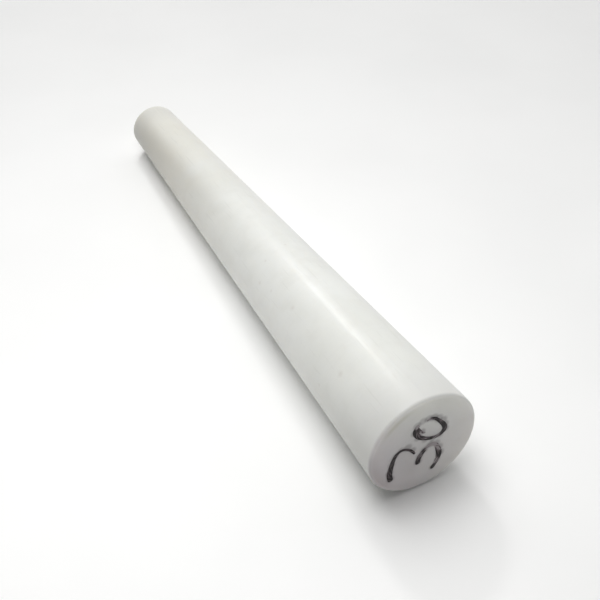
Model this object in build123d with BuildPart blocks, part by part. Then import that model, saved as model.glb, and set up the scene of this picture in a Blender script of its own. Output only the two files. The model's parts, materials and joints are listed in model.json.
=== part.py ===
from build123d import *
import os
from math import atan2, cos, hypot, sin

# Tapered rod of solid white plastic, turned in one straight taper, with its size written by
# hand on the wide end.
#
# The rod lies on its side, as it does on a bench or in a cradle. Z is up and z = 0 is the
# bench. The lowest line of the taper lies on it along Y, the wide end towards -Y and the
# narrow end towards +Y. X = 0 is the plane of symmetry. The origin is on that lowest line,
# under the middle of the rod. Millimetres.

# ---------------------------------------------------------------- driving dimensions

WIDE_DIAMETER = 30.0  # the size that the number on the end face gives
NARROW_DIAMETER = 16.0
LENGTH = 175.0  # from face to face, along the axis
WIDE_EDGE_RADIUS = 1.0  # rounding between the wide end face and the taper
NARROW_EDGE_RADIUS = 0.4  # rounding between the narrow end face and the taper

INK_THICKNESS = 0.05  # the ink lies in a recess of this depth, level with the end face
INK_MARGIN = 1.5  # bare flat between the outermost pen stroke and the rounded edge

# Pen strokes on the wide end face, as dabs of (right, up, width) in the order of writing,
# measured from the middle of the face. The number reads from lower left to upper right.
# All the strokes together are fitted to the flat of the face, less the margin. The number
# gives the wide end's diameter, so a rod of another size needs other strokes.
THREE_FIRST_BOW = [
    (-9.0, -7.5, 1.5),
    (-9.3, -5.2, 1.6),
    (-8.8, -2.4, 1.4),
    (-7.8, 0.3, 1.1),
    (-6.6, 1.2, 0.9),
    (-4.8, 0.8, 0.8),
    (-3.5, -0.3, 0.8),
    (-2.6, -1.6, 0.7),
]
THREE_SECOND_BOW = [
    (-1.4, -5.4, 1.5),
    (-1.2, -4.1, 1.5),
    (0.0, -2.2, 1.3),
    (1.4, -1.0, 1.0),
    (2.9, -1.1, 1.1),
    (4.0, -2.8, 1.4),
    (4.6, -5.2, 1.7),
    (4.2, -7.4, 1.4),
    (3.0, -9.4, 1.2),
]
ZERO_RING = [
    (-2.2, 7.3, 1.1),
    (-2.7, 5.8, 1.6),
    (-1.8, 3.7, 1.5),
    (0.2, 2.1, 1.2),
    (2.5, 1.3, 1.1),
    (4.4, 1.5, 1.2),
    (5.6, 2.8, 1.5),
    (5.1, 4.6, 1.3),
    (3.6, 6.6, 1.0),
    (2.0, 8.0, 0.9),
    (0.5, 8.0, 0.6),
]
ZERO_DRAG = [
    (-2.0, 6.4, 0.7),
    (-1.2, 5.1, 0.8),
    (-0.1, 4.2, 0.4),
]

# ---------------------------------------------------------------- derived sizes and planes

wide_radius = WIDE_DIAMETER / 2
narrow_radius = NARROW_DIAMETER / 2
taper = atan2(wide_radius - narrow_radius, LENGTH)  # between the axis and the side, radians

# Lying on its side, the axis slopes down by the taper towards the narrow end. Each end face
# leans by the same angle, so the flat of the wide face reaches forward at its lower edge and
# the flat of the narrow face reaches back at its upper edge.
wide_reach = (wide_radius - WIDE_EDGE_RADIUS) * sin(taper)
narrow_reach = LENGTH * cos(taper) + (narrow_radius - NARROW_EDGE_RADIUS) * sin(taper)
wide_end_centre = Vector(0, (wide_reach - narrow_reach) / 2, wide_radius * cos(taper))

along_rod = Vector(0, cos(taper), -sin(taper))

# The strokes keep their proportions, and the furthest dab just touches the margin.
all_dabs = THREE_FIRST_BOW + THREE_SECOND_BOW + ZERO_RING + ZERO_DRAG
drawn_reach = max(hypot(right, up) + width / 2 for right, up, width in all_dabs)
writing_scale = (wide_radius - WIDE_EDGE_RADIUS - INK_MARGIN) / drawn_reach

# The profile plane: its x runs along the axis from the wide end, its y from the axis upwards.
profile_plane = Plane(origin=wide_end_centre, x_dir=along_rod, z_dir=(1, 0, 0))
# The wide face plane looks out of the rod: its x points right and its y up the face.
wide_face = Plane(origin=wide_end_centre, x_dir=(1, 0, 0), z_dir=-along_rod)


def pen_stroke(drawn_dabs):
    """Add one pen stroke to the open sketch: two side curves and a round cap at each end."""
    dabs = [[size * writing_scale for size in dab] for dab in drawn_dabs]
    left_side = []
    right_side = []
    for place, (right, up, width) in enumerate(dabs):
        before = dabs[max(place - 1, 0)]
        after = dabs[min(place + 1, len(dabs) - 1)]
        direction = Vector(after[0] - before[0], after[1] - before[1]).normalized()
        half_width = direction.rotate(Axis.Z, 90) * (width / 2)
        left_side.append(Vector(right, up) + half_width)
        right_side.append(Vector(right, up) - half_width)
    start_cap = cap_point(dabs[0], dabs[1])
    end_cap = cap_point(dabs[-1], dabs[-2])
    with BuildLine() as outline:
        Spline(*left_side)
        ThreePointArc(left_side[-1], end_cap, right_side[-1])
        Spline(*reversed(right_side))
        ThreePointArc(right_side[0], start_cap, left_side[0])
    make_face(outline.edges())


def cap_point(end_dab, next_dab):
    """Return the outermost point of the round cap at one end of a stroke."""
    outwards = Vector(end_dab[0] - next_dab[0], end_dab[1] - next_dab[1]).normalized()
    return Vector(end_dab[0], end_dab[1]) + outwards * (end_dab[2] / 2)


# ---------------------------------------------------------------- the digits in marker ink

with BuildPart() as ink_digit_three:
    with BuildSketch(wide_face):
        pen_stroke(THREE_FIRST_BOW)
        pen_stroke(THREE_SECOND_BOW)
    extrude(amount=-INK_THICKNESS)
ink_digit_three.part.label = "ink_digit_three"

with BuildPart() as ink_digit_zero:
    with BuildSketch(wide_face):
        pen_stroke(ZERO_RING)
        pen_stroke(ZERO_DRAG)
    extrude(amount=-INK_THICKNESS)
ink_digit_zero.part.label = "ink_digit_zero"

# ---------------------------------------------------------------- the turned body

with BuildPart() as tapered_body:
    with BuildSketch(profile_plane):
        with BuildLine():
            Polyline(
                (0, 0),
                (0, wide_radius),
                (LENGTH, narrow_radius),
                (LENGTH, 0),
                close=True,
            )
        make_face()
    revolve(axis=Axis(wide_end_centre, along_rod))
    rims = tapered_body.edges().filter_by(GeomType.CIRCLE).sort_by(Axis.Y)
    fillet(rims[0], radius=WIDE_EDGE_RADIUS)
    rims = tapered_body.edges().filter_by(GeomType.CIRCLE).sort_by(Axis.Y)
    fillet(rims[-1], radius=NARROW_EDGE_RADIUS)
    # The recess that each digit's ink fills.
    add(ink_digit_three.part, mode=Mode.SUBTRACT)
    add(ink_digit_zero.part, mode=Mode.SUBTRACT)
tapered_body.part.label = "tapered_body"

# ---------------------------------------------------------------- one STEP file per node

os.makedirs("parts", exist_ok=True)
export_step(tapered_body.part, "parts/tapered_body.step")
export_step(ink_digit_three.part, "parts/ink_digit_three.step")
export_step(ink_digit_zero.part, "parts/ink_digit_zero.step")
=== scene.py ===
# %% [markdown]
# # A turned white plastic rod with its size inked on the end
# The object is one solid rod of white acetal, a slippery engineering plastic. It was turned on a
# lathe in one straight taper, its edges were broken, and "30" was written on the wide end with a
# marker pen. Nothing on it moves and nothing is fastened to it.
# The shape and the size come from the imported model, and this script never changes them. It adds
# what the eye reads as real plastic and ink: colour, gloss, tool marks, handling marks and light.

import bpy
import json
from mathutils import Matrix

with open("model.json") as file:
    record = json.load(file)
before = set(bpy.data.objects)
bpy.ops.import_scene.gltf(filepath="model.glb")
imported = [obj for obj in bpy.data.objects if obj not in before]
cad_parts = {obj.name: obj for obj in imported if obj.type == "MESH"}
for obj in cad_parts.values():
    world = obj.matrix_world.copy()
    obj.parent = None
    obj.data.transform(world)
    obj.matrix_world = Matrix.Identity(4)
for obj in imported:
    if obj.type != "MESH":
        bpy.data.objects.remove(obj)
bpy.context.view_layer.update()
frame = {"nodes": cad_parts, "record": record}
print("pieces in the frame:", sorted(frame["nodes"]))

# %% [markdown]
# ## The rod's own sizes
# Every pattern below follows the rod, so it needs the rod's axis, its length and its radii. They
# could be typed in as numbers, but a longer or thicker rod would then leave its patterns behind.
# So they are worked out from the record, which gives the centre of each end face. The rod lies
# on its side with its lowest line on z = 0, so a face centre is one radius from the floor,
# measured square to that line.

# %% Measure the rod
import json
from math import atan2, cos, degrees, radians, sin

import bpy
from mathutils import Vector

MM = 0.001
mounts = {mount["name"]: mount for mount in frame["record"]["mounts"]}
wide_centre = Vector(mounts["wide_end_face"]["pos_m"])
narrow_centre = Vector(mounts["narrow_end_face"]["pos_m"])
rod_axis = (narrow_centre - wide_centre).normalized()
lean = atan2(-rod_axis.z, rod_axis.y)
rod_length = (narrow_centre - wide_centre).length / MM
wide_radius = wide_centre.z / cos(lean) / MM
narrow_radius = narrow_centre.z / cos(lean) / MM
print(f"rod {rod_length:.1f} mm long, leaning {degrees(lean):.2f} degrees")
print(f"radius {wide_radius:.2f} mm at the wide end, {narrow_radius:.2f} mm at the narrow end")

# %% [markdown]
# ## Three small helpers
# Colours are written as sRGB hex, the way a paint chart or a screen gives them. Shaders work in
# linear light, so one function turns the first into the second.
# A material is a tree of nodes. Each node could be made, set and joined in lines of its own, but
# a finish would then be hard to follow. So one function adds any node, fills in its settings and
# joins its links, and each line of a finish reads as one step of a recipe. Another function
# starts a material with an empty tree. The soft edge that most masks need is only a few settings
# of the Map Range node, and a layer of colour is only a setting of the Mix node, so both are kept
# under a name.

# %% Colour and node helpers
def linear(hex_colour):
    """Turns an sRGB hex colour, such as "#E6E7E3", into linear red, green, blue and alpha."""
    channels = [int(hex_colour[i:i + 2], 16) / 255 for i in (1, 3, 5)]
    return [c / 12.92 if c <= 0.04045 else ((c + 0.055) / 1.055) ** 2.4 for c in channels] + [1.0]


def add_node(tree, kind, settings={}, links={}):
    """Adds one node. A setting is an input's value, by name or number, or else a property of the
    node. A link joins an input to an output, to the output that another node has in use, or to a
    number that stands in for one."""
    node = tree.nodes.new("ShaderNode" + kind)
    for name, value in settings.items():
        if isinstance(name, int) or name in node.inputs:
            node.inputs[name].default_value = value
        else:
            setattr(node, name, value)
    for name, source in links.items():
        if isinstance(source, bpy.types.Node):
            source = next(output for output in source.outputs if output.enabled)
        if isinstance(source, bpy.types.NodeSocket):
            tree.links.new(source, node.inputs[name])
        else:
            node.inputs[name].default_value = source
    return node


def empty_material(name):
    """Makes a material with nothing in its node tree, and gives both."""
    material = bpy.data.materials.new(name)
    material.use_nodes = True
    material.node_tree.nodes.clear()
    return material, material.node_tree


# A soft edge: 0 at From Min, 1 or To Max at From Max. From Min may be the higher of the two.
SOFT = {"interpolation_type": "SMOOTHSTEP"}
# A colour laid over another: input 0 is the mask, 6 the colour under it and 7 the colour over it.
LAYER = {"data_type": "RGBA"}
print("a screen's middle grey is", round(linear("#808080")[0], 3), "in linear light")

# %% [markdown]
# ## Coordinates that turn with the lathe
# Marks left by a lathe run round the rod's axis, and marks on its face run round the face's
# centre. The world's coordinates know nothing of that axis, and unwrapping the rod into a flat
# map would leave a seam. So the materials work out the rod's own coordinates: millimetres across,
# along and up, the distance out from the axis, and the angle round it. A Mapping node of the
# Texture type undoes the rod's place, lean and scale in one step.

# %% Rod coordinates
def rod_coordinates(tree):
    """Gives the point in the rod's frame, in mm from the wide face's centre, then its across,
    along and up parts, its distance out from the axis, and its angle round it from the top."""
    point = add_node(tree, "TexCoord").outputs["Object"]
    rod_point = add_node(tree, "Mapping", {
        "vector_type": "TEXTURE", "Location": wide_centre, "Rotation": (-lean, 0, 0),
        "Scale": (MM, MM, MM)}, {"Vector": point})
    across, along, up = add_node(tree, "SeparateXYZ", links={"Vector": rod_point}).outputs
    spoke = add_node(tree, "CombineXYZ", links={"X": across, "Z": up})
    out = add_node(tree, "VectorMath", {"operation": "LENGTH"}, {0: spoke})
    angle = add_node(tree, "Math", {"operation": "ARCTAN2"}, {0: across, 1: up})
    return rod_point, across, along, up, out, angle


print("rod coordinates start at", [round(c / MM, 2) for c in wide_centre], "mm")

# %% [markdown]
# ## Turned white acetal: the plastic itself
# Natural acetal is a milky white, faintly translucent plastic: light goes a few millimetres into
# it before it comes out, which softens its shadows and makes its edges glow. The lathe tool
# leaves fine rings round it, and handling wears them to a satin finish, so it is neither glossy
# nor chalky.
# One plain colour would look like new paper. The finish is built like paint instead, in layers:
# each of the next cells lays one over the colour so far, through a mask that says where it goes.
# First come the slow clouds that any thick piece of milky plastic has, and a finer mottle from
# sanding. Noise makes both, and its scale is one over the size of a blotch in millimetres. Its
# values gather round 0.5, so a Map Range node spreads a middle stretch of them, here about 0.35
# to 0.7, over the whole mask. A stretch that starts higher leaves fewer, smaller blotches.

# %% Milky clouds
MILKY_WHITE = "#E6E7E3"
CLOUD_WHITE = "#E1E2DD"
MOTTLE_GREY = "#D9D9D3"
CLOUD_SIZE = 24.0
MOTTLE_SIZE = 5.0
MOTTLE_SHADE = 0.35

white_acetal, tree = empty_material("turned_white_acetal")
rod_point, across, along, up, out, angle = rod_coordinates(tree)
clouds = add_node(tree, "TexNoise", {"Scale": 1 / CLOUD_SIZE, "Detail": 3.0},
                  {"Vector": rod_point})
clouds = add_node(tree, "MapRange", {**SOFT, "From Min": 0.35, "From Max": 0.7},
                  {"Value": clouds})
mottle = add_node(tree, "TexNoise", {"Scale": 1 / MOTTLE_SIZE, "Detail": 5.0},
                  {"Vector": rod_point})
mottle = add_node(tree, "MapRange", {**SOFT, "From Min": 0.4, "From Max": 0.75,
                                     "To Max": MOTTLE_SHADE}, {"Value": mottle})
colour = add_node(tree, "Mix", {**LAYER, 6: linear(MILKY_WHITE), 7: linear(CLOUD_WHITE)},
                  {0: clouds})
colour = add_node(tree, "Mix", {**LAYER, 7: linear(MOTTLE_GREY)}, {0: mottle, 6: colour})
print("clouds", CLOUD_SIZE, "mm and mottle", MOTTLE_SIZE, "mm across")

# %% [markdown]
# ## Lathe rings
# The feed of a finishing cut leaves rings about 0.2 mm apart, on the side and on the faces. A
# Wave texture would draw them as even as a screw thread, which a worn cut never is. Noise that
# changes quickly one way and slowly the other is uneven in the right way, and dividing the
# coordinates by a different size each way stretches noise like that. The side's rings come from
# the distance along the rod, and the faces' rings from the distance out from the centre.

# %% Lathe rings
# Rings 0.2 mm apart would vanish, so they are drawn three to five times coarser.
RING_PITCH = 0.9
FACE_RING_PITCH = 0.55
# The side's rings keep their shade for this many mm round the rod.
RING_REACH = 45.0
# The faces' rings change slowly with the angle, by this share of a blotch for each radian.
FACE_RING_TURN = 0.4
# The faces' finish fades out over this many mm of the side.
FACE_BAND = 0.3
RING_GREY = "#D3D3CE"
RING_SHADE = 0.12

side_grooves = add_node(tree, "VectorMath", {
    "operation": "DIVIDE", 1: (RING_REACH, RING_PITCH, RING_REACH)}, {0: rod_point})
side_rings = add_node(tree, "TexNoise", {"Scale": 1.0, "Detail": 2.0}, {"Vector": side_grooves})
face_turn = add_node(tree, "Math", {"operation": "MULTIPLY", 1: FACE_RING_TURN}, {0: angle})
face_grooves = add_node(tree, "CombineXYZ", links={"X": out, "Y": face_turn})
face_grooves = add_node(tree, "VectorMath", {
    "operation": "DIVIDE", 1: (FACE_RING_PITCH, 1.0, 1.0)}, {0: face_grooves})
face_rings = add_node(tree, "TexNoise", {"Scale": 1.0, "Detail": 2.0}, {"Vector": face_grooves})
wide_face = add_node(tree, "MapRange", {**SOFT, "From Min": FACE_BAND, "From Max": 0.0},
                     {"Value": along})
far_face = add_node(tree, "MapRange", {
    **SOFT, "From Min": rod_length - FACE_BAND, "From Max": rod_length}, {"Value": along})
on_face = add_node(tree, "Math", {"operation": "ADD"}, {0: wide_face, 1: far_face})
rings = add_node(tree, "Mix", links={0: on_face, 2: side_rings, 3: face_rings})
ring_shade = add_node(tree, "Math", {"operation": "MULTIPLY", 1: RING_SHADE}, {0: rings})
colour = add_node(tree, "Mix", {**LAYER, 7: linear(RING_GREY)}, {0: ring_shade, 6: colour})
print(f"rings {RING_PITCH} mm apart on the side and {FACE_RING_PITCH} mm on the faces")

# %% [markdown]
# ## The held end: warmth, and painted shade on one flank
# A forming rod is held by its narrow end. Skin oil turns that end a little warm, in patches. One
# flank of it is painted darker too: that is painted shade, where less light reaches it, not a mark
# on the plastic. Both could be painted on a map by hand, but masks worked out from the coordinates
# have no seam, and they follow the rod if its size changes. The mask for the warmth grows along
# the rod, and the mask for the painted shade grows across it.

# %% The held end and its painted shade
# The warmth and the painted shade start at this share of the length, the shade at this share of
# the radius.
HELD_AND_SHADED_START = 0.45
SHADED_FLANK_START = 0.35
PALM_PATCH = 14.0
WARM_WHITE = "#E4E0D3"
WARMTH = 0.5
# Painted shade: the grey that darkens the -X flank of the narrow end.
FLANK_SHADE_GREY = "#C4C1B7"
FLANK_SHADE = 0.9

held_and_shaded = add_node(tree, "MapRange", {
    **SOFT, "From Min": HELD_AND_SHADED_START * rod_length, "From Max": rod_length}, {"Value": along})
patches = add_node(tree, "TexNoise", {"Scale": 1 / PALM_PATCH, "Detail": 3.0},
                   {"Vector": rod_point})
patches = add_node(tree, "MapRange", {**SOFT, "From Min": 0.2, "From Max": 0.6,
                                      "To Max": WARMTH}, {"Value": patches})
warm = add_node(tree, "Math", {"operation": "MULTIPLY"}, {0: held_and_shaded, 1: patches})
colour = add_node(tree, "Mix", {**LAYER, 7: linear(WARM_WHITE)}, {0: warm, 6: colour})
# Painted shade on the -X flank of the narrow end, not a mark on the plastic.
painted_flank_shade = add_node(tree, "MapRange", {
    **SOFT, "From Min": -SHADED_FLANK_START * narrow_radius, "From Max": -narrow_radius,
    "To Max": FLANK_SHADE}, {"Value": across})
painted_flank_shade = add_node(tree, "Math", {"operation": "MULTIPLY"}, {0: held_and_shaded, 1: painted_flank_shade})
colour = add_node(tree, "Mix", {**LAYER, 7: linear(FLANK_SHADE_GREY)}, {0: painted_flank_shade, 6: colour})
print("warm from", round(HELD_AND_SHADED_START * rod_length), "mm along")

# %% [markdown]
# ## Painted shade towards the ends
# The side is painted greyer towards both ends: painted shade, for the light that falls off there.
# The grey has no edge where it stops, so it isn't a band of another material but a soft mask that
# grows with the distance along the rod. The wide face has a finish of its own, so it is taken out.

# %% Painted shade towards the ends
# Painted shade: grey laid on the side towards both ends, where the light falls off.
END_SHADE_GREY = "#CFCFCC"
WIDE_END_SHADE_REACH = 20.0
NARROW_END_SHADE_REACH = 18.0
WIDE_END_SHADE = 0.7
NARROW_END_SHADE = 0.4
# The wide end's rounded edge fades out over this many mm of the side.
EDGE_BAND = 1.2

round_edge = add_node(tree, "MapRange", {**SOFT, "From Min": EDGE_BAND, "From Max": FACE_BAND},
                      {"Value": along})
painted_wide_end_shade = add_node(tree, "MapRange", {**SOFT, "From Min": WIDE_END_SHADE_REACH, "From Max": 0.0,
                                       "To Max": WIDE_END_SHADE}, {"Value": along})
painted_wide_end_shade = add_node(tree, "Math", {"operation": "SUBTRACT", "use_clamp": True},
                    {0: painted_wide_end_shade, 1: on_face})
painted_narrow_end_shade = add_node(tree, "MapRange", {
    **SOFT, "From Min": rod_length - NARROW_END_SHADE_REACH, "From Max": rod_length,
    "To Max": NARROW_END_SHADE}, {"Value": along})
painted_end_shade = add_node(tree, "Math", {"operation": "ADD"}, {0: painted_wide_end_shade, 1: painted_narrow_end_shade})
colour = add_node(tree, "Mix", {**LAYER, 7: linear(END_SHADE_GREY)}, {0: painted_end_shade, 6: colour})
print("ends rubbed over", WIDE_END_SHADE_REACH, "and", NARROW_END_SHADE_REACH, "mm")

# %% [markdown]
# ## Painted shade on the underside
# The underside of each end is painted greyer: painted shade, where the rod turns down, away from
# the light and towards the bench. A mask from the height alone would be narrower on the thin end
# than on the thick one. The height over the distance from the axis says how far a spot faces up,
# at both ends alike. The wide end's rounded edge is left out.

# %% Painted shade on the underside
# Painted shade for the underside of each end.
UNDERSIDE_SHADE_GREY = "#A6A6A2"
UNDERSIDE_SHADE_REACH = 40.0
UNDERSIDE_SHADE = 0.5

facing_up = add_node(tree, "Math", {"operation": "DIVIDE"}, {0: up, 1: out})
painted_underside_shade = add_node(tree, "MapRange", {**SOFT, "From Min": 0.8, "From Max": -0.2,
                                        "To Max": UNDERSIDE_SHADE}, {"Value": facing_up})
near_wide_end = add_node(tree, "MapRange", {**SOFT, "From Min": UNDERSIDE_SHADE_REACH, "From Max": 0.0},
                         {"Value": along})
near_wide_end = add_node(tree, "Math", {"operation": "SUBTRACT", "use_clamp": True},
                         {0: near_wide_end, 1: round_edge})
near_narrow_end = add_node(tree, "MapRange", {
    **SOFT, "From Min": rod_length - UNDERSIDE_SHADE_REACH, "From Max": rod_length}, {"Value": along})
near_narrow_end = add_node(tree, "Math", {"operation": "SUBTRACT", "use_clamp": True},
                           {0: near_narrow_end, 1: far_face})
near_end = add_node(tree, "Math", {"operation": "ADD"}, {0: near_wide_end, 1: near_narrow_end})
painted_underside_shade = add_node(tree, "Math", {"operation": "MULTIPLY"}, {0: near_end, 1: painted_underside_shade})
colour = add_node(tree, "Mix", {**LAYER, 7: linear(UNDERSIDE_SHADE_GREY)}, {0: painted_underside_shade, 6: colour})
print("underside grubby over", UNDERSIDE_SHADE_REACH, "mm from each end")

# %% [markdown]
# ## Specks of grime
# A tool that lies in a drawer with others picks up pinhead specks of grime. Noise could scatter
# them, but it wouldn't let us choose where each one sits. Here each speck is a soft ball in space
# that stains the surface where it meets it. That needs only the speck's place, given as
# millimetres along the rod and degrees round it from the top, and its size across.

# %% Specks
# (mm along the rod, degrees round from the top, mm across)
SPECKS = [(73, 4, 1.3), (71, -32, 1.2), (67, -57, 1.8), (61, -51, 1.4), (50, -43, 2.2),
          (22, -47, 2.4), (27, -77, 1.5), (118, 25, 1.2), (96, 150, 2.0), (40, 120, 1.6),
          (141, -140, 1.7), (12, 75, 1.3), (88, 95, 1.1)]
SPECK_BROWN = "#A8988A"
SPECK_SHADE = 0.16

taper = (wide_radius - narrow_radius) / rod_length
for speck_along, turned, size in SPECKS:
    radius = wide_radius - taper * speck_along
    place = (radius * sin(radians(turned)), speck_along, radius * cos(radians(turned)))
    gap = add_node(tree, "VectorMath", {"operation": "DISTANCE", 1: place}, {0: rod_point})
    speck = add_node(tree, "MapRange", {**SOFT, "From Min": size / 2, "From Max": 0.0,
                                        "To Max": SPECK_SHADE}, {"Value": gap})
    colour = add_node(tree, "Mix", {**LAYER, 7: linear(SPECK_BROWN)}, {0: speck, 6: colour})
print(len(SPECKS), "specks, the largest", max(size for _, _, size in SPECKS), "mm across")

# %% [markdown]
# ## Hairline scratches
# The same drawer leaves a few long hairline scratches. They could be fine curves laid on the
# surface, but nobody sees where a hairline runs, only that there are some. Noise stretched along
# the rod, and cut off so high that only its thin crests are left, gives them in three nodes.

# %% Hairline scratches
# A hairline scratch is about 0.05 mm wide, and is drawn ten times wider so that it shows.
SCRATCH_WIDTH = 0.5
SCRATCH_LENGTH = 18.0
SCRATCH_GREY = "#C9C9C4"
SCRATCH_SHADE = 0.18

scratches = add_node(tree, "VectorMath", {
    "operation": "DIVIDE", 1: (SCRATCH_WIDTH, SCRATCH_LENGTH, SCRATCH_WIDTH)}, {0: rod_point})
scratches = add_node(tree, "TexNoise", {"Scale": 1.0, "Detail": 1.0}, {"Vector": scratches})
scratches = add_node(tree, "MapRange", {**SOFT, "From Min": 0.66, "From Max": 0.74},
                     {"Value": scratches})
scratch_shade = add_node(tree, "Math", {"operation": "MULTIPLY", 1: SCRATCH_SHADE},
                         {0: scratches})
colour = add_node(tree, "Mix", {**LAYER, 7: linear(SCRATCH_GREY)}, {0: scratch_shade, 6: colour})
print("scratches", SCRATCH_WIDTH, "mm wide and about", SCRATCH_LENGTH, "mm long")

# %% [markdown]
# ## Painted shade on the wide face
# The wide face is painted greyer towards one side and down: painted shade, darkest where it runs
# out over the rounded edge on that side. A painted map could show it, but a dot product with a
# direction gives a mask that grows that way in one node. Two such masks, a broad one and a narrow
# one, deepen the painted shade towards the edge, and a third, very thin layer of painted shade
# grows down the flat of the face.

# %% Painted shade on the wide face
# Towards the left and a little down, for someone who looks at the wide face.
FACE_SHADE_TOWARDS = (-0.9, 0.0, -0.4)
# Where each painted shade starts or is full, as a share of the radius from the centre.
FACE_SHADE_START = -0.35
DEEP_FACE_SHADE_START = 0.68
LOW_FACE_SHADE_FULL = -0.3
# Painted shade on the wide face, in three layers of grey.
FACE_SHADE_GREY = "#B5AEB4"
FACE_SHADE_AMOUNT = 0.55
DEEP_FACE_SHADE_GREY = "#7F7A7C"
DEEP_FACE_SHADE_AMOUNT = 0.6
LOW_FACE_SHADE_GREY = "#C2B8BC"
# The thin layer of painted shade, at the top of the face and low down on it.
LOW_FACE_SHADE_AMOUNTS = (0.05, 0.34)

face_shade_side = add_node(tree, "VectorMath", {"operation": "DOT_PRODUCT", 1: FACE_SHADE_TOWARDS},
                     {0: rod_point})
painted_face_shade = add_node(tree, "MapRange", {
    **SOFT, "From Min": FACE_SHADE_START * wide_radius, "From Max": wide_radius,
    "To Max": FACE_SHADE_AMOUNT}, {"Value": face_shade_side})
painted_face_shade = add_node(tree, "Math", {"operation": "MULTIPLY"}, {0: painted_face_shade, 1: round_edge})
colour = add_node(tree, "Mix", {**LAYER, 7: linear(FACE_SHADE_GREY)}, {0: painted_face_shade, 6: colour})
painted_deep_face_shade = add_node(tree, "MapRange", {
    **SOFT, "From Min": DEEP_FACE_SHADE_START * wide_radius, "From Max": wide_radius,
    "To Max": DEEP_FACE_SHADE_AMOUNT}, {"Value": face_shade_side})
painted_deep_face_shade = add_node(tree, "Math", {"operation": "MULTIPLY"}, {0: painted_deep_face_shade, 1: round_edge})
colour = add_node(tree, "Mix", {**LAYER, 7: linear(DEEP_FACE_SHADE_GREY)}, {0: painted_deep_face_shade, 6: colour})
painted_low_face_shade = add_node(tree, "MapRange", {
    **SOFT, "From Min": wide_radius, "From Max": LOW_FACE_SHADE_FULL * wide_radius,
    "To Min": LOW_FACE_SHADE_AMOUNTS[0], "To Max": LOW_FACE_SHADE_AMOUNTS[1]}, {"Value": up})
painted_low_face_shade = add_node(tree, "Math", {"operation": "MULTIPLY"}, {0: painted_low_face_shade, 1: wide_face})
colour = add_node(tree, "Mix", {**LAYER, 7: linear(LOW_FACE_SHADE_GREY)}, {0: painted_low_face_shade, 6: colour})
print("film thickens towards", FACE_SHADE_TOWARDS)

# %% [markdown]
# ## A line of old grime
# Just inside the rounded edge of the wide face, a faint yellowish line of old grime is left over
# a short arc. A thin curve laid on the face would show its ends and its edges. Four soft masks,
# two across the line and two along it, are multiplied instead, so that it fades out on every
# side.

# %% Line of old grime
# Millimetres in from the rim: the line's inner end, its darkest part and its outer end.
LINE_INSETS = (2.6, 1.5, 0.5)
# Degrees round from the top: the line fades in over the first two and out over the last two.
LINE_ARC = (-65, -42, -30, -10)
LINE_YELLOW = "#94905F"
LINE_SHADE = 0.22

inner, darkest, outer = (wide_radius - inset for inset in LINE_INSETS)
fade_in, full, fading, gone = (radians(turned) for turned in LINE_ARC)
rim_inner = add_node(tree, "MapRange", {**SOFT, "From Min": inner, "From Max": darkest},
                     {"Value": out})
rim_outer = add_node(tree, "MapRange", {**SOFT, "From Min": outer, "From Max": darkest},
                     {"Value": out})
rim_line = add_node(tree, "Math", {"operation": "MULTIPLY"}, {0: rim_inner, 1: rim_outer})
arc_start = add_node(tree, "MapRange", {**SOFT, "From Min": fade_in, "From Max": full},
                     {"Value": angle})
arc_end = add_node(tree, "MapRange", {
    **SOFT, "From Min": gone, "From Max": fading, "To Max": LINE_SHADE}, {"Value": angle})
rim_arc = add_node(tree, "Math", {"operation": "MULTIPLY"}, {0: arc_start, 1: arc_end})
rim_line = add_node(tree, "Math", {"operation": "MULTIPLY"}, {0: rim_line, 1: rim_arc})
rim_line = add_node(tree, "Math", {"operation": "MULTIPLY"}, {0: rim_line, 1: round_edge})
colour = add_node(tree, "Mix", {**LAYER, 7: linear(LINE_YELLOW)}, {0: rim_line, 6: colour})
print("line of grime", LINE_INSETS[1], "mm in from the rim")

# %% [markdown]
# ## Where the ink bled
# The number was written with a solvent marker. The solvent carries a little dye past the edge of
# the stroke, so each stroke sits in a soft grey haze that is widest where the pen was slow. The
# haze belongs to the plastic, not to the ink's own solid, and a shader can't blur a solid's
# outline. So it is built from soft balls, like the specks, that are set along the strokes,
# as (across, up, size, strength) on the wide face in millimetres. The same function serves later
# for the places where the pen ran dry.

# %% Ink haze
HAZE_GREY = "#5E5557"
THREE_HAZE = [(-9.0, -7.3, 1.5, 0.4), (-9.4, -5.0, 1.5, 0.35), (-8.9, -2.4, 1.4, 0.3),
              (-7.8, 0.2, 1.2, 0.25), (-6.4, 1.4, 1.3, 0.25), (-4.6, 1.4, 1.6, 0.35),
              (-3.1, -0.2, 1.3, 0.3), (-1.3, -5.2, 1.5, 0.35), (-0.9, -3.6, 1.4, 0.35),
              (0.3, -2.0, 1.4, 0.35), (1.9, -0.8, 1.5, 0.35), (3.6, -1.2, 1.5, 0.3),
              (4.6, -3.0, 1.5, 0.3), (5.0, -5.2, 1.6, 0.4), (4.3, -7.3, 1.4, 0.3),
              (3.0, -9.4, 1.3, 0.35)]
ZERO_HAZE = [(2.2, 8.2, 1.6, 0.4), (3.6, 7.3, 1.6, 0.4), (4.9, 6.0, 1.6, 0.4),
             (5.6, 4.3, 1.5, 0.4), (5.9, 2.6, 1.4, 0.35), (4.4, 1.2, 1.3, 0.3),
             (2.4, 0.9, 1.2, 0.3), (0.2, 1.7, 1.3, 0.3), (-1.9, 3.3, 1.4, 0.35),
             (-2.9, 5.4, 1.5, 0.4), (-2.4, 7.6, 1.5, 0.35), (-0.9, 8.4, 1.5, 0.3),
             (0.7, 8.5, 1.5, 0.35), (-0.9, 4.9, 1.4, 0.35)]
# A finger has dragged a little dye over the middle of the face.
SMUDGE = [(-1.5, -1.0, 10.0, 0.1)]
# A place keeps its full strength out to this share of its size.
CORE = 0.4


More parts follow.
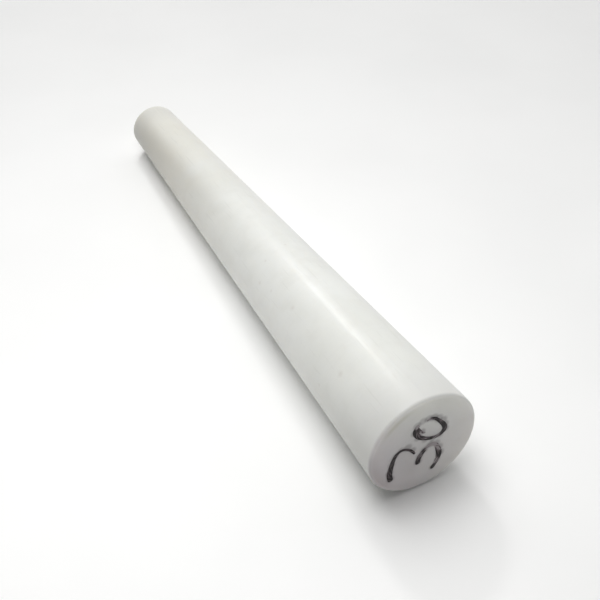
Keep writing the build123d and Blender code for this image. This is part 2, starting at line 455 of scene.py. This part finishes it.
def soft_places(tree, rod_point, places):
    """A mask of soft balls, strongest in the middle of each and added up where they meet."""
    mask = 0.0
    for across, up, size, strength in places:
        gap = add_node(tree, "VectorMath", {"operation": "DISTANCE", 1: (across, 0.0, up)},
                       {0: rod_point})
        place = add_node(tree, "MapRange", {
            **SOFT, "From Min": size, "From Max": CORE * size, "To Max": strength},
            {"Value": gap})
        mask = add_node(tree, "Math", {"operation": "ADD"}, {0: mask, 1: place})
    return mask


haze = soft_places(tree, rod_point, THREE_HAZE + ZERO_HAZE + SMUDGE)
haze = add_node(tree, "Math", {"operation": "MULTIPLY"}, {0: haze, 1: wide_face})
colour = add_node(tree, "Mix", {**LAYER, 7: linear(HAZE_GREY)}, {0: haze, 6: colour})
print("haze in", len(THREE_HAZE), "places on the three and", len(ZERO_HAZE), "on the zero")

# %% [markdown]
# ## Satin gloss and relief
# Handling polishes some patches of the plastic more than others, and rings, scratches and the
# grease of a hand all dull it a little. One roughness for the whole rod would look like new
# plastic from a mould, so a noise sets it, and every mark made so far adds its share.
# The relief of those marks is real, but far too fine to model, so it goes into a bump: the rings,
# a finer grain from emery cloth, and the scratches cut into them.

# %% Gloss and relief
GLOSS_PATCH = 9.0
# The grain of fine emery is about 0.05 mm, and is drawn much coarser so that it shows.
GRAIN_SIZE = 0.6
# Real tool rings are a few microns deep. The relief is drawn about ten times deeper, in mm, so
# that it shows in the highlight.
RELIEF_DEPTH = 0.03
RING_RELIEF = 0.7
GRAIN_RELIEF = 0.4
SCRATCH_RELIEF = -0.3

gloss_wear = add_node(tree, "TexNoise", {"Scale": 1 / GLOSS_PATCH, "Detail": 4.0},
                      {"Vector": rod_point})
roughness = add_node(tree, "MapRange", {"To Min": 0.5, "To Max": 0.62}, {"Value": gloss_wear})
for worn, rougher in ((rings, 0.05), (scratches, 0.15), (held_and_shaded, 0.05), (on_face, 0.1)):
    roughness = add_node(tree, "Math", {"operation": "MULTIPLY_ADD", 1: rougher},
                         {0: worn, 2: roughness})

grain = add_node(tree, "TexNoise", {"Scale": 1 / GRAIN_SIZE, "Detail": 2.0},
                 {"Vector": rod_point})
relief = add_node(tree, "Math", {"operation": "MULTIPLY", 1: RING_RELIEF}, {0: rings})
for cut, weight in ((grain, GRAIN_RELIEF), (scratches, SCRATCH_RELIEF)):
    relief = add_node(tree, "Math", {"operation": "MULTIPLY_ADD", 1: weight},
                      {0: cut, 2: relief})
bump = add_node(tree, "Bump", {"Strength": 1.0, "Distance": RELIEF_DEPTH * MM},
                {"Height": relief})
print("relief", RELIEF_DEPTH, "mm deep with a grain of", GRAIN_SIZE, "mm")

# %% [markdown]
# ## The acetal's shader
# Acetal's index of refraction is about 1.48. Its satin comes from two scales at once: the worn
# crests of the tool rings are nearly polished, and everything between them is rough. One layer
# could give only the broad glow or only the tight streak. A rough base with a thin, smoother coat
# over it gives both. The coat has a normal of its own, so it gets the same bump.
# The milkiness could be faked with a paler colour, but then the shadows would stay hard. So the
# light is scattered under the surface, as in the real plastic.

# %% Acetal shader
ACETAL_IOR = 1.48
# Light goes this many mm into the plastic.
MILKY_DEPTH = 5.0

shader = add_node(tree, "BsdfPrincipled", {
    "IOR": ACETAL_IOR,
    "Subsurface Weight": 0.6,
    "Subsurface Radius": (1.0, 0.95, 0.85),
    "Subsurface Scale": MILKY_DEPTH * MM,
    "Coat Weight": 0.25,
    "Coat Roughness": 0.22,
    "Coat IOR": ACETAL_IOR,
}, {"Base Color": colour, "Roughness": roughness, "Normal": bump, "Coat Normal": bump})
add_node(tree, "OutputMaterial", links={"Surface": shader})
print(white_acetal.name, "has", len(tree.nodes), "nodes")

# %% [markdown]
# ## Dry marker ink: the streaks
# Permanent marker ink is a thin film of dark dye. Acetal is slippery, so the ink beads and drags:
# it is brownish black where the pen was pressed or stopped, and thin and grey where it moved fast
# or ran dry, with streaks that follow the stroke.
# Noise stretched one way would make streaks that cross the stroke wherever it turns. Each bow of
# a digit is nearly round, so the angle round the bow's centre runs along the stroke and the
# distance from it runs across. Noise that is stretched along that angle follows the pen.

# %% Pen streaks
STREAK_WIDTH = 0.35
# A streak keeps its shade for this many radians of a bow.
STREAK_TURN = 0.7
# Centres of the bows, from left to right, as (across, up) on the wide face in mm.
THREE_BOWS = [(-6.0, -4.0), (1.6, -5.6)]
ZERO_BOWS = [(1.5, 4.8)]
# Half the width of the soft step from one bow's streaks to the next one's.
BOW_STEP = 0.1


def stroke_streaks(tree, rod_point, across, bow_centres):
    """Streaks that run along the strokes, from noise wound round each bow's centre."""
    streaks = 0.0
    left_bow = -wide_radius
    for bow_across, bow_up in bow_centres:
        arm = add_node(tree, "VectorMath", {"operation": "SUBTRACT", 1: (bow_across, 0, bow_up)},
                       {0: rod_point})
        right, _, above = add_node(tree, "SeparateXYZ", links={"Vector": arm}).outputs
        spoke = add_node(tree, "CombineXYZ", links={"X": right, "Z": above})
        reach = add_node(tree, "VectorMath", {"operation": "LENGTH"}, {0: spoke})
        turn = add_node(tree, "Math", {"operation": "ARCTAN2"}, {0: right, 1: above})
        wound = add_node(tree, "CombineXYZ", links={"X": reach, "Y": turn})
        wound = add_node(tree, "VectorMath", {
            "operation": "DIVIDE", 1: (STREAK_WIDTH, STREAK_TURN, 1.0)}, {0: wound})
        wound = add_node(tree, "TexNoise", {"Scale": 1.0, "Detail": 3.0}, {"Vector": wound})
        between = (left_bow + bow_across) / 2
        this_bow = add_node(tree, "MapRange", {
            **SOFT, "From Min": between - BOW_STEP, "From Max": between + BOW_STEP},
            {"Value": across})
        streaks = add_node(tree, "Mix", links={0: this_bow, 2: streaks, 3: wound})
        left_bow = bow_across
    return streaks


print("streaks", STREAK_WIDTH, "mm wide round", len(THREE_BOWS) + len(ZERO_BOWS), "bows")

# %% [markdown]
# ## Dry marker ink: how thin it lies
# A marker that moves fast or runs dry leaves a thin film. Noise alone would thin it anywhere, but
# a pen runs dry where the hand was quick. So the dry places are listed, in the same way as
# the haze, with dryness in the place of strength. The streaks and a few blots are added to them.

# %% Ink thinness
BLOT_SIZE = 1.1
STREAK_THINNESS = 0.65
BLOT_THINNESS = 0.15
THREE_DRY = [(-4.3, 1.4, 1.8, 0.45), (1.9, -0.9, 2.4, 0.8), (3.7, -1.8, 2.0, 0.6),
             (5.0, -3.2, 1.4, 0.4), (3.9, -7.3, 1.5, 0.5), (-1.0, -2.9, 1.1, 0.35)]
ZERO_DRY = [(-2.5, 7.6, 1.6, 0.7), (0.2, 8.2, 2.0, 0.8), (-0.7, 4.8, 1.6, 0.6),
            (3.4, 1.1, 1.5, 0.4), (1.0, 2.5, 1.2, 0.4)]


def ink_thinness(tree, bow_centres, dry_places):
    """How thin the ink lies: 0 where it is thick, and about 1 where the pen ran dry."""
    rod_point, across, *_ = rod_coordinates(tree)
    streaks = stroke_streaks(tree, rod_point, across, bow_centres)
    streaks = add_node(tree, "MapRange", {**SOFT, "From Min": 0.42, "From Max": 0.66,
                                          "To Max": STREAK_THINNESS}, {"Value": streaks})
    blots = add_node(tree, "TexNoise", {"Scale": 1 / BLOT_SIZE, "Detail": 3.0},
                     {"Vector": rod_point})
    blots = add_node(tree, "MapRange", {**SOFT, "From Min": 0.4, "From Max": 0.7,
                                        "To Max": BLOT_THINNESS}, {"Value": blots})
    thinness = soft_places(tree, rod_point, dry_places)
    for patchy in (streaks, blots):
        thinness = add_node(tree, "Math", {"operation": "ADD"}, {0: thinness, 1: patchy})
    return thinness


print(len(THREE_DRY), "dry places on the three and", len(ZERO_DRY), "on the zero")

# %% [markdown]
# ## Dry marker ink: the material
# Thin ink could be made see-through, but the ink's solid is let into the plastic, and the hollow
# under it would show. So the ink stays solid, and thinness drives how it looks: as it grows, the
# colour goes from brownish black to grey, the surface from a slight shine to dull, and the relief
# down. The dye is dark right through, so it needs no subsurface scattering.

# %% Ink
INK_BLACK = "#171012"
THIN_INK_GREY = "#554B4E"
DRY_INK_GREY = "#A39C9E"
INK_IOR = 1.5
# Dried dye holds little resin that could shine, so its reflection is weak.
INK_SHINE = 0.2
# The relief of the dried film, in mm.
INK_RELIEF = 0.01


def dry_marker_ink(name, bow_centres, dry_places):
    """Brownish black ink that turns grey and streaky in the dry places."""
    material, tree = empty_material(name)
    thinness = ink_thinness(tree, bow_centres, dry_places)
    greying = add_node(tree, "MapRange", {**SOFT, "From Min": 0.1, "From Max": 0.6},
                       {"Value": thinness})
    fading = add_node(tree, "MapRange", {**SOFT, "From Min": 0.55, "From Max": 1.1},
                      {"Value": thinness})
    colour = add_node(tree, "Mix", {**LAYER, 6: linear(INK_BLACK), 7: linear(THIN_INK_GREY)},
                      {0: greying})
    colour = add_node(tree, "Mix", {**LAYER, 7: linear(DRY_INK_GREY)}, {0: fading, 6: colour})
    roughness = add_node(tree, "MapRange", {"To Min": 0.38, "To Max": 0.6}, {"Value": thinness})
    bump = add_node(tree, "Bump", {"Distance": INK_RELIEF * MM, "invert": True},
                    {"Height": thinness})
    shader = add_node(tree, "BsdfPrincipled", {"IOR": INK_IOR, "Specular IOR Level": INK_SHINE},
                      {"Base Color": colour, "Roughness": roughness, "Normal": bump})
    add_node(tree, "OutputMaterial", links={"Surface": shader})
    return material


ink_of_three = dry_marker_ink("dry_marker_ink_three", THREE_BOWS, THREE_DRY)
ink_of_zero = dry_marker_ink("dry_marker_ink_zero", ZERO_BOWS, ZERO_DRY)
print("two inks:", ink_of_three.name, "and", ink_of_zero.name)

# %% [markdown]
# ## Put the finishes on the pieces
# Each piece keeps its shape and only gets a material in place of the plain one it came with. The
# rod's side is a ring of narrow flat strips. More strips would hide the facets, but the packed
# mesh stays as it is, so the side is shaded smooth instead. Every edge that turns by more than
# 30 degrees stays sharp: those are the lips of the shallow hollows that hold the ink.

# %% Finish the pieces
SHARP_FROM = radians(30)
FINISHES = {
    "tapered_body": (white_acetal, "white_plastic"),
    "ink_digit_three": (ink_of_three, "marker_ink"),
    "ink_digit_zero": (ink_of_zero, "marker_ink"),
}
for name, (material, slot_name) in FINISHES.items():
    piece = frame["nodes"][name]
    piece.data.materials.clear()
    piece.data.materials.append(material)
    piece.data.shade_smooth()
    piece.data.set_sharp_from_angle(angle=SHARP_FROM)
    print(name, "wears", material.name)

# %% [markdown]
# ## A pale bench
# The rod lies on a white laminate bench. Laminate is pressed paper under a clear, hard resin:
# almost white, matte, with a fine pebbled texture that stops it from mirroring what stands on
# it. A flat white would do for a floor, but it would look like empty paper beside the rod. So
# the bench is one square with a slow change of tone and the pebbles as a bump, wide enough that
# no view of the rod sees past its edge.

# %% Bench
BENCH_REACH = 8.0
LAMINATE_WHITE = "#FDFDFC"
LAMINATE_SHADE = "#FAFAF9"
# The pebbles of real laminate are about 0.3 mm across, and are drawn three times coarser.
PEBBLE_SIZE = 0.9 * MM
PEBBLE_RELIEF = 0.01 * MM
TONE_SIZE = 60 * MM
RESIN_IOR = 1.5

white_laminate, tree = empty_material("white_laminate")
bench_point = add_node(tree, "TexCoord").outputs["Object"]
tone = add_node(tree, "TexNoise", {"Scale": 1 / TONE_SIZE, "Detail": 3.0}, {"Vector": bench_point})
tone = add_node(tree, "MapRange", {**SOFT, "From Min": 0.35, "From Max": 0.7}, {"Value": tone})
colour = add_node(tree, "Mix", {**LAYER, 6: linear(LAMINATE_WHITE), 7: linear(LAMINATE_SHADE)},
                  {0: tone})
pebbles = add_node(tree, "TexNoise", {"Scale": 1 / PEBBLE_SIZE, "Detail": 2.0},
                   {"Vector": bench_point})
roughness = add_node(tree, "MapRange", {"To Min": 0.5, "To Max": 0.65}, {"Value": pebbles})
bump = add_node(tree, "Bump", {"Distance": PEBBLE_RELIEF}, {"Height": pebbles})
shader = add_node(tree, "BsdfPrincipled", {"IOR": RESIN_IOR},
                  {"Base Color": colour, "Roughness": roughness, "Normal": bump})
add_node(tree, "OutputMaterial", links={"Surface": shader})

bench_mesh = bpy.data.meshes.new("bench_top")
corners = [(x * BENCH_REACH, y * BENCH_REACH, 0) for x, y in ((-1, -1), (1, -1), (1, 1), (-1, 1))]
bench_mesh.from_pydata(corners, [], [(0, 1, 2, 3)])
bench_mesh.materials.append(white_laminate)
bench = bpy.data.objects.new("bench_top", bench_mesh)
bpy.context.scene.collection.objects.link(bench)
print("bench", 2 * BENCH_REACH, "m square, pebbles", PEBBLE_SIZE / MM, "mm")

# %% [markdown]
# ## Soft studio light
# White plastic shows its shape only through soft changes of tone, so the light has to come mostly
# from one side. Here it comes from behind and above, past the narrow end: the top is bright, the
# near side falls off gently, and the wide end face is lit only by what the bench throws back.
# Two large softboxes could give the broad light, but it would fall off across the bench. So it
# comes from two suns with a wide angle: a sun lights the whole bench evenly, and its angle does
# what a softbox's size does, it sets how soft the shadows are.
# The key is a small softbox, and its reflection is the narrow streak along the rod. A second
# small one hangs close over the middle of the rod and lifts it above the two ends.

# %% Lamps
# A sun's distance doesn't change its light, so any place clear of the rod will do, in metres.
SUN_DISTANCE = 2.0


def aim_light(name, kind, towards, distance, settings):
    """Puts a light in the given direction from the rod's middle, and turns it to face the rod."""
    light = bpy.data.lights.new(name, kind)
    for setting, value in settings.items():
        setattr(light, setting, value)
    lamp = bpy.data.objects.new(name, light)
    bpy.context.scene.collection.objects.link(lamp)
    direction = Vector(towards).normalized()
    lamp.location = (wide_centre + narrow_centre) / 2 + direction * distance
    lamp.rotation_euler = direction.to_track_quat("Z", "Y").to_euler()
    lamp.visible_camera = False
    print(name, "comes from", [round(part, 2) for part in direction])


aim_light("sky_behind", "SUN", towards=(0.0, 0.5, 0.86), distance=SUN_DISTANCE,
          settings={"energy": 1.02, "angle": radians(45)})
aim_light("sky_right", "SUN", towards=(0.8, 0.5, 0.7), distance=SUN_DISTANCE,
          settings={"energy": 0.54, "angle": radians(60)})
aim_light("key", "AREA", towards=(0.155, 0.71, 0.687), distance=0.9,
          settings={"shape": "RECTANGLE", "size": 0.13, "size_y": 0.06, "energy": 1.1})
aim_light("over_middle", "AREA", towards=(-0.25, -0.15, 1.0), distance=0.25,
          settings={"shape": "SQUARE", "size": 0.15, "energy": 0.25})

# %% [markdown]
# ## Studio walls
# White walls stand round a studio bench, lit near the floor and darker above, where nothing
# shines on them. They could be modelled, but then every view would have to fit inside them. The
# world's background does the same with one soft edge: strong at the horizon, weaker from about
# 12 degrees up. Low views of the rod then see a pale wall, not a grey one.

# %% Studio walls
WALL_WHITE = "#FFFFFF"
WALL_GLOW = 0.75
ROOM_GLOW = 0.2
# The height of a view direction at which the walls end: the sine of about 12 degrees.
WALL_TOP = 0.2

world = bpy.data.worlds.new("studio_walls")
world.use_nodes = True
background = world.node_tree.nodes["Background"]
background.inputs["Color"].default_value = linear(WALL_WHITE)
look = add_node(world.node_tree, "TexCoord").outputs["Generated"]
height = add_node(world.node_tree, "SeparateXYZ", links={"Vector": look}).outputs["Z"]
glow = add_node(world.node_tree, "MapRange", {
    **SOFT, "From Min": WALL_TOP, "From Max": 0.0, "To Min": ROOM_GLOW, "To Max": WALL_GLOW},
    {"Value": height})
world.node_tree.links.new(glow.outputs["Result"], background.inputs["Strength"])
bpy.context.scene.world = world
print("walls glow", WALL_GLOW, "at the horizon and", ROOM_GLOW, "above it")

# %% [markdown]
# ## Camera
# The rod is seen from above its wide end and a little to the left, so that the number, the taper
# and the far end all show. A camera this near makes the wide end look larger than the narrow one
# by more than the taper alone would. It could be placed by its own coordinates, but a direction
# and a distance from the point that it aims at are easier to adjust one at a time. The plain
# Standard view keeps the whites as they are.

# %% Camera
CAMERA_LENS = 59.43
CAMERA_AZIMUTH = radians(-27.8)
CAMERA_ELEVATION = radians(41.17)
CAMERA_AIM = Vector((4.97, -14.93, 2.55)) * MM
CAMERA_DISTANCE = 292.7 * MM

camera_data = bpy.data.cameras.new("camera")
camera_data.lens = CAMERA_LENS
camera_data.clip_start = 10 * MM
camera = bpy.data.objects.new("camera", camera_data)
bpy.context.scene.collection.objects.link(camera)
level = cos(CAMERA_ELEVATION)
looking = Vector((
    -sin(CAMERA_AZIMUTH) * level, cos(CAMERA_AZIMUTH) * level, -sin(CAMERA_ELEVATION)))
camera.location = CAMERA_AIM - looking * CAMERA_DISTANCE
camera.rotation_euler = looking.to_track_quat("-Z", "Y").to_euler()
bpy.context.scene.camera = camera
bpy.context.scene.view_settings.view_transform = "Standard"
print("camera at", [round(c / MM, 1) for c in camera.location], "mm")
